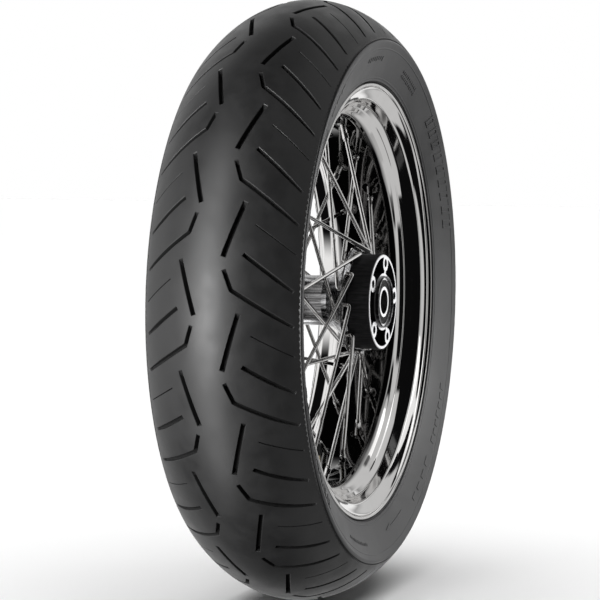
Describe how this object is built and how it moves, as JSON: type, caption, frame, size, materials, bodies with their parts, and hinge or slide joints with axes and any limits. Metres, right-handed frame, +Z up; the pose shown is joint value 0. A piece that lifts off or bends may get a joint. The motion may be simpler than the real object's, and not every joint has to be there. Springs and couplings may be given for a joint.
{
  "type": "wire-spoked motorcycle rear wheel with tyre",
  "caption": "Motorcycle rear wheel: a wide grooved radial tyre on a chromed drop-centre rim, laced with steel spokes to an alloy hub with sealed ball bearings, disc and sprocket carriers, and a valve.",
  "frame": {"origin": "centre of the wheel: on the spin axis, halfway between the rim's two flanges", "axes": "+Z up, the spin axis along Y, the brake disc's side at -Y and the sprocket's side at +Y"},
  "size_m": [0.636, 0.164, 0.636],
  "materials": {
    "tyre_rubber": "satin",
    "inner_rubber": "matte",
    "cord_steel": "satin",
    "rim_chrome": "polished",
    "spoke_chrome": "polished",
    "hub_alloy": "polished",
    "carrier_dark": "satin",
    "bearing_steel": "polished",
    "seal_rubber": "matte",
    "valve_brass": "satin",
    "cap_plastic": "matte"
  },
  "bodies": {
    "axle_set": {"bearing_inner_race_brake": "bearing_steel", "bearing_spacer": "bearing_steel", "bearing_inner_race_drive": "bearing_steel"},
    "wheel": {"tyre_tread": "tyre_rubber", "tyre_belt": "cord_steel", "tyre_casing": "inner_rubber", "tyre_inner_liner": "inner_rubber", "tyre_sidewall_brake": "tyre_rubber", "tyre_sidewall_drive": "tyre_rubber", "bead_wire_brake": "cord_steel", "bead_wire_drive": "cord_steel", "bead_filler_brake": "inner_rubber", "bead_filler_drive": "inner_rubber", "inner_tube": "inner_rubber", "rim_tape": "inner_rubber", "rim": "rim_chrome", "spokes_brake_outer": "spoke_chrome", "spokes_brake_inner": "spoke_chrome", "spokes_drive_outer": "spoke_chrome", "spokes_drive_inner": "spoke_chrome", "nipples_brake_outer": "spoke_chrome", "nipples_brake_inner": "spoke_chrome", "nipples_drive_outer": "spoke_chrome", "nipples_drive_inner": "spoke_chrome", "hub_shell": "hub_alloy", "disc_carrier": "carrier_dark", "sprocket_carrier": "carrier_dark", "bearing_outer_race_brake": "bearing_steel", "bearing_outer_race_drive": "bearing_steel", "bearing_seal_brake": "seal_rubber", "bearing_seal_drive": "seal_rubber", "bearing_inner_seal_brake": "seal_rubber", "bearing_inner_seal_drive": "seal_rubber", "valve_stem": "valve_brass", "valve_washer": "valve_brass", "valve_nut": "valve_brass", "valve_core": "valve_brass", "valve_spring": "bearing_steel"},
    "bearing_cage_set_brake": {"bearing_cage_brake": "bearing_steel", "bearing_balls_brake": "bearing_steel"},
    "bearing_cage_set_drive": {"bearing_cage_drive": "bearing_steel", "bearing_balls_drive": "bearing_steel"},
    "valve_pin_set": {"valve_pin": "valve_brass"},
    "valve_cap_set": {"valve_cap": "cap_plastic"}
  },
  "joints": [
    {"name": "wheel_spin", "type": "hinge", "parent": "axle_set", "child": "wheel", "pos_m": [0, 0, 0], "axis": [0, 1, 0], "continuous": true},
    {"name": "bearing_cage_spin_brake", "type": "hinge", "parent": "axle_set", "child": "bearing_cage_set_brake", "pos_m": [0, -0.0722, 0], "axis": [0, 1, 0], "continuous": true},
    {"name": "bearing_cage_spin_drive", "type": "hinge", "parent": "axle_set", "child": "bearing_cage_set_drive", "pos_m": [0, 0.0657, 0], "axis": [0, 1, 0], "continuous": true},
    {"name": "valve_pin_slide", "type": "slide", "parent": "wheel", "child": "valve_pin_set", "axis": [0.0785, 0, -0.9969], "range_m": [0, 0.0015], "stiffness_N_per_m": 900, "springref_m": -0.001, "deforming": ["valve_spring"]},
    {"name": "valve_cap_slide", "type": "slide", "parent": "wheel", "child": "valve_cap_set", "axis": [-0.0785, 0, 0.9969], "range_m": [0, 0.014]}
  ],
  "couplings": [
    {"joint": "bearing_cage_spin_brake", "follows": "wheel_spin", "ratio": 0.6031},
    {"joint": "bearing_cage_spin_drive", "follows": "wheel_spin", "ratio": 0.6031}
  ]
}
